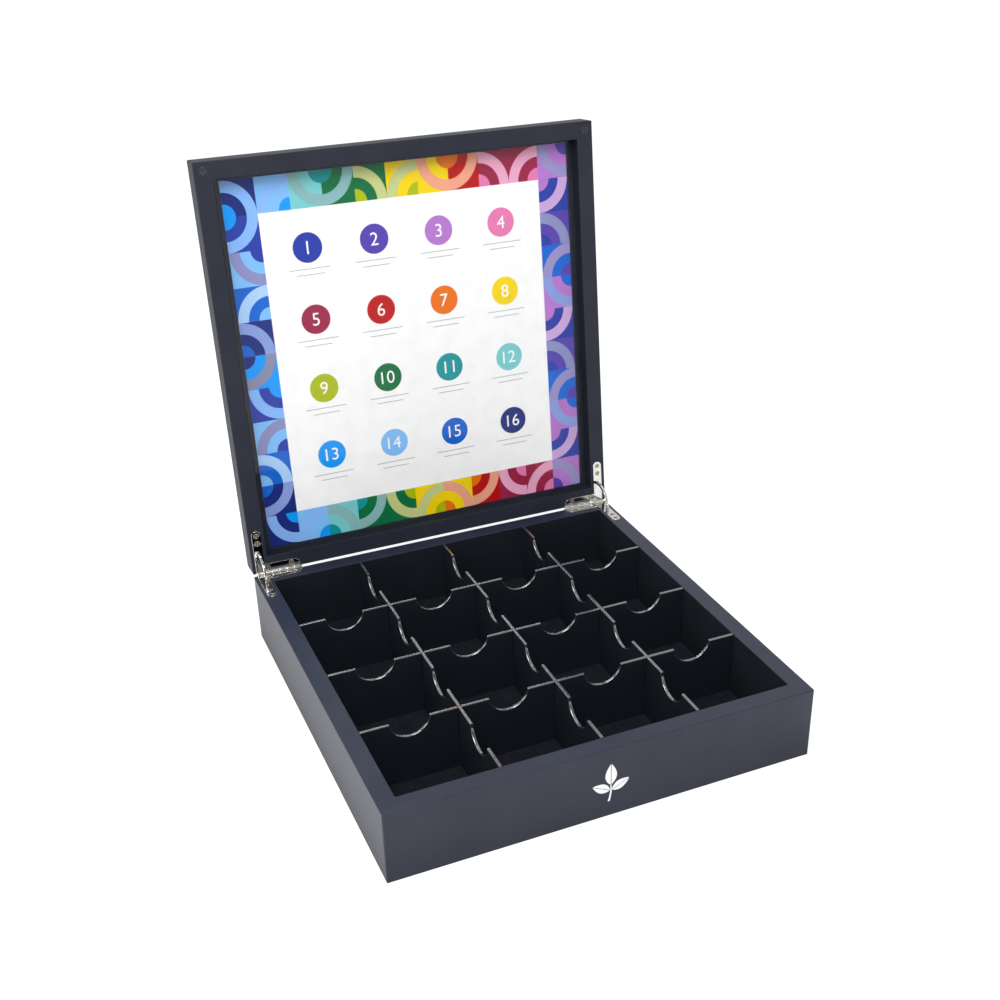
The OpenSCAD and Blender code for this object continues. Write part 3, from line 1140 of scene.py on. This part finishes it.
@dataclass
class PrintedLid:
    """The lid: painted rails and board, the printed card, its clear sheet and the bumpers."""

    hinge: HingeLine
    # Painted shade: the same paint as the base, made darker and less glossy for the lid.
    colour: Colour = (0.0120, 0.0152, 0.029)
    gloss: Pair = (0.46, 0.60)
    gloss_shine: float = 0.52
    tiles: int = 11
    ring_tint: float = 0.26
    ring_share: Triple = (1.0, 0.68, 0.36)
    arc_steps: int = 20
    chart: int = 4
    chart_margin: float = 0.3
    disc_radius: float = 12.0 * MM
    disc_steps: int = 72
    disc_rise: float = 0.12
    digit_height: float = 15.0 * MM
    rule_width: float = 34.0 * MM
    rule_weight: float = 0.45 * MM
    rule_gap: float = 4.6 * MM
    rule_shares: Pair = (1 / 2, 1 / 3)
    ink_room: float = 0.08 * MM
    ink_step: float = 0.012 * MM
    card_clear: float = 0.02 * MM

    def dress(self) -> None:
        """Paints rails and board in a darker, shaded copy of the base's paint, and finishes the
        bumpers.
        """
        shut = self.hinge.frame_of("lid_right_rail", "lid_back_rail")
        across = SatinPaint("lid_paint_across", shut, Run.ACROSS, colour=self.colour,
                            gloss=self.gloss, gloss_shine=self.gloss_shine)
        along = replace(across, name="lid_paint_along", run=Run.ALONG)
        board = replace(across, name="lid_paint_board", black_inside=False)
        for node, paint in (("lid_front_rail", across), ("lid_back_rail", across),
                            ("lid_left_rail", along), ("lid_right_rail", along),
                            ("lid_board", board)):
            dress_node(node, paint)
        dress_node("lid_bumpers", SoftBumper("soft_bumper"))
        dress_node("lid_clear_sheet", ClearSheet("clear_sheet"))

    def quarter_tiles(self, plates: Plates, half: np.ndarray) -> None:
        """Prints the border: a ring of tiles, each with quarter rounds from one corner.

        The tiles are counted clockwise from the top left corner, and the corner of the quarter
        rounds goes on by one from tile to tile.

        Args:
            plates: Plates to add to.
            half: Half width and half height of the card.
        """
        size = 2 * half / self.tiles
        for count, (column, row) in enumerate(self.border_places()):
            ground, mate = self.tile_inks(column, row)
            low = -half + size * np.array([column, row])
            high = low + size
            level = 0.0
            plates.add(rectangle(*low, *high), level, level + self.ink_step, ground.value)
            quarter = count % 4
            corner = np.array([low, [high[0], low[1]], high, [low[0], high[1]]][quarter])
            for order, reach in enumerate(self.ring_share):
                level += self.ink_step
                ink = (mate.tint(self.ring_tint), ground.value, mate.value)[order]
                outline = sector(corner, size * reach, quarter * math.pi / 2, math.pi / 2,
                                 self.arc_steps)
                plates.add(outline, level, level + self.ink_step, ink)

    def tile_inks(self, column: int, row: int) -> tuple[Ink, Ink]:
        """Chooses a tile's ground and its mate: a rainbow along top and bottom, blues beside.

        Args:
            column: Column of the tile.
            row: Row of the tile, counted from the bottom.

        Returns:
            Ink of the ground and ink of the quarter rounds.
        """
        if row in (0, self.tiles - 1):
            inks = (RAINBOW[column], RAINBOW_MATES[column])
            return inks if (row + column) % 2 else inks[::-1]
        blues = RIGHT_BLUES if column else LEFT_BLUES
        return blues[row % len(blues)], blues[(row + 1) % len(blues)]

    def border_places(self) -> list[tuple[int, int]]:
        """Lists the border's tiles clockwise from the top left corner.

        Returns:
            Column and row of each tile, with row 0 at the bottom.
        """
        last = self.tiles - 1
        top = [(k, last) for k in range(last)]
        right = [(last, last - k) for k in range(last)]
        bottom = [(last - k, 0) for k in range(last)]
        left = [(0, k) for k in range(last)]
        return top + right + bottom + left

    def chart_cells(self, plates: Plates, half: np.ndarray) -> None:
        """Prints the chart: a numbered disc and two empty lines for each compartment.

        Args:
            plates: Plates to add to.
            half: Half width and half height of the card.
        """
        panel = 2 * half * (self.tiles - 2) / self.tiles
        cell = panel / (self.chart + self.chart_margin)
        for number in range(1, self.chart ** 2 + 1):
            row, column = divmod(number - 1, self.chart)
            steps = np.array([column, self.chart - 1 - row]) - (self.chart - 1) / 2
            middle = cell * steps
            raised = middle + [0.0, self.disc_rise * cell[1]]
            ink = CHART_INKS[number - 1]
            plates.add(disc(raised, self.disc_radius, self.disc_steps), 0.0, self.ink_step,
                       ink.value)
            points, faces = number_shell(number, self.digit_height, self.ink_step,
                                         2 * self.ink_step)
            plates.add_mesh(points + [*raised, 0.0], faces, Ink.WHITE.value)
            self.rules(plates, raised - [0.0, self.disc_radius])

    def rules(self, plates: Plates, below: np.ndarray) -> None:
        """Prints fine grey lines to write on, each shorter than the one above.

        Args:
            plates: Plates to add to.
            below: Point that the lines hang from.
        """
        for line, share in enumerate(self.rule_shares, 1):
            high = below[1] - line * self.rule_gap
            reach = self.rule_width * share
            plates.add(
                rectangle(below[0] - reach, high - self.rule_weight, below[0] + reach, high),
                0.0, self.ink_step, Ink.RULE.value)

    def print_card(self) -> None:
        """Makes the card and its print, in place of the plain card."""
        low, high = self.hinge.closed_box("lid_print_card")
        half = (high - low)[:2] / 2
        depth = high[2] - low[2] - self.ink_room
        card = Plates()
        card.add(rectangle(*-half, *half), -depth, 0.0, Ink.WHITE.value)
        motifs = Plates()
        self.quarter_tiles(motifs, half)
        self.chart_cells(motifs, half)
        shut_axes = np.diag([1.0, -1.0, -1.0])
        centre = np.array([[0.0, (low[1] + high[1]) / 2, low[2] + self.ink_room]])
        origin = self.hinge.turned(centre, -self.hinge.opening)[0]
        still = HingeLine(0.0, 0.0, 0.0)
        axes = still.turned(shut_axes, -self.hinge.opening)
        paper = card.piece("lid_print_paper", origin, axes)
        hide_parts("lid_print_card")
        place(paper, Body.LID, Slot.PRINT, PrintedPaper("print_paper"))
        place(motifs.piece("lid_print_motifs", origin, axes), Body.LID, Slot.PRINT,
              PrintedPaper("print_paper"))

    def build(self) -> None:
        """Dresses the lid and prints its card."""
        self.dress()
        self.print_card()


@dataclass
class BoxHinges:
    """Two box hinges: leaves, pins, curved stays and their screws."""

    bright: PlatedSteel = PlatedSteel("bright_plate")
    screws: PlatedSteel = PlatedSteel(
        "warm_plate", colour=(0.50, 0.45, 0.36), dull_colour=(0.24, 0.20, 0.15),
        shine=(0.2, 0.36))

    def build(self) -> None:
        """Dresses every metal piece."""
        for node in sorted(frame["nodes"]):
            if "_hinge_" in node:
                dress_node(node, self.screws if node.endswith("screws") else self.bright)


@dataclass
class PhotoCamera:
    """Camera at the photograph's place, worked out from the box's corners in the picture."""

    focal_px: float = 1351.1
    centre_px: Pair = (530.0, 550.0)
    azimuth: float = 0.41187
    elevation: float = 0.50475
    roll: float = -0.01422
    target: Triple = (47.56 * MM, 75.30 * MM, 80.0 * MM)
    distance: float = 1122.4 * MM

    def build(self) -> None:
        """Makes the camera and points it at the box."""
        data = bpy.data.cameras.new("photo_camera")
        data.sensor_width = SENSOR_MM
        data.lens = self.focal_px * SENSOR_MM / PICTURE_PX
        data.shift_x = (PICTURE_PX / 2 - self.centre_px[0]) / PICTURE_PX
        data.shift_y = (self.centre_px[1] - PICTURE_PX / 2) / PICTURE_PX
        camera = linked("photo_camera", data)
        az, el, roll = self.azimuth, self.elevation, self.roll
        ahead = np.array([math.sin(az) * math.cos(el), math.cos(az) * math.cos(el),
                          -math.sin(el)])
        level = np.array([math.cos(az), -math.sin(az), 0.0])
        upright = np.cross(level, ahead)
        right = math.cos(roll) * level + math.sin(roll) * upright
        up = math.cos(roll) * upright - math.sin(roll) * level
        stand = np.array(self.target) - self.distance * ahead
        camera.matrix_world = pose_of(right, up, -ahead, stand)
        bpy.context.scene.camera = camera
        log.info("camera %s", data.name)


@dataclass(frozen=True)
class Softbox:
    """A square area lamp that looks at the middle of the box."""

    name: str
    place: Triple
    size: float
    power: float

    def build(self) -> None:
        """Makes the lamp."""
        data = bpy.data.lights.new(self.name, "AREA")
        data.size = self.size
        data.energy = self.power
        lamp = linked(self.name, data)
        back = np.array(self.place) / np.linalg.norm(self.place)
        side = np.cross([0.0, 0.0, 1.0], back)
        side /= np.linalg.norm(side)
        lamp.matrix_world = pose_of(side, np.cross(back, side), back, np.array(self.place))
        log.info("lamp %s", self.name)


@dataclass
class Studio:
    """White paper floor, an even white surround and soft lamps.

    In mirrors the surround is darker high in front, more to the left than to the right
    (mirrored_front), and a little darker at the back (mirrored_back). Each pair of limits says
    between which parts of a direction, along the named axis, such a change takes place.
    """

    floor_reach: float = 12.0
    floor_drop: float = 0.2 * MM
    surround: float = 0.50
    mirrored_front: Pair = (0.07, 0.5)
    mirrored_back: float = 0.72
    front_limits_y: Pair = (-0.2, 0.3)
    high_limits_z: Pair = (0.08, 0.35)
    side_limits_x: Pair = (0.2, 0.42)
    back_limits_y: Pair = (0.3, 0.7)
    lamps: tuple[Softbox, ...] = (
        Softbox("overhead_softbox", (-0.5, -0.9, 1.9), 1.3, 36.0),
        Softbox("left_softbox", (-1.9, -0.4, 0.9), 1.0, 12.0),
    )

    def floor(self) -> None:
        """Lays the paper floor just under the box."""
        low = -self.floor_drop
        reach = self.floor_reach
        mesh = bpy.data.meshes.new("paper_floor")
        corners = [(-reach, -reach, low), (reach, -reach, low),
                   (reach, reach, low), (-reach, reach, low)]
        mesh.from_pydata(corners, [], [(0, 1, 2, 3)])
        floor = linked("paper_floor", mesh)
        foot = (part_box("base_right_wall")[1].x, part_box("base_back_wall")[1].y)
        Paper("paper_floor", foot).dress(floor)

    def world(self) -> None:
        """Makes the surround light the box plainly and look white where it is seen."""
        world = bpy.data.worlds.new("surround")
        bpy.context.scene.world = world
        tree = Tree(world)
        light = tree.node("ShaderNodeBackground")
        tree.feed(light.inputs["Color"], (1.0, 1.0, 1.0))
        x, y, z = tree.parts(tree.node("ShaderNodeTexCoord").outputs["Generated"])
        front = tree.spread(y, 1.0, 0.0, *self.front_limits_y)
        high = tree.spread(z, 0.0, 1.0, *self.high_limits_z)
        dim = tree.spread(x, *self.mirrored_front, *self.side_limits_x)
        back = tree.spread(y, 1.0, self.mirrored_back, *self.back_limits_y)
        mirrored = tree.between(tree.maths("MULTIPLY", front, high), back, dim)
        shown, glossy = seen_rays(tree)
        lit = tree.between(glossy, self.surround, mirrored)
        tree.feed(light.inputs["Strength"], tree.between(shown, lit, 1.0))
        tree.feed(tree.node("ShaderNodeOutputWorld").inputs["Surface"], light.outputs[0])

    def build(self) -> None:
        """Builds floor, surround and lamps."""
        self.floor()
        self.world()
        for lamp in self.lamps:
            lamp.build()


def dress_node(node: str, finish: Finish) -> None:
    """Gives a CAD node its finish and reports it.

    Args:
        node: Name of the node.
        finish: The finish.
    """
    finish.dress(frame["nodes"][node])
    log.info("node %s in %s", node, finish.name)


def place(piece: bpy.types.Object, body: Body, slot: Slot, finish: Finish) -> None:
    """Finishes a new piece and lets it ride on a body.

    Args:
        piece: The piece.
        body: Body that it moves with.
        slot: Material slot of the record; not used.
        finish: Its finish.
    """
    finish.dress(piece)
    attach(piece, body.value)
    log.info("piece %s on %s in %s", piece.name, body.value, finish.name)


def main() -> None:
    """Builds the sub-assemblies in order, then the camera and the studio."""
    logging.basicConfig(level=logging.INFO, format="%(name)s: %(message)s")
    WoodenBase().build()
    DividerGrid().build()
    PrintedLid(HingeLine.of_joint("lid_hinge")).build()
    BoxHinges().build()
    PhotoCamera().build()
    Studio().build()
    bpy.context.scene.view_settings.view_transform = "Standard"


if __name__ == "__main__":
    main()
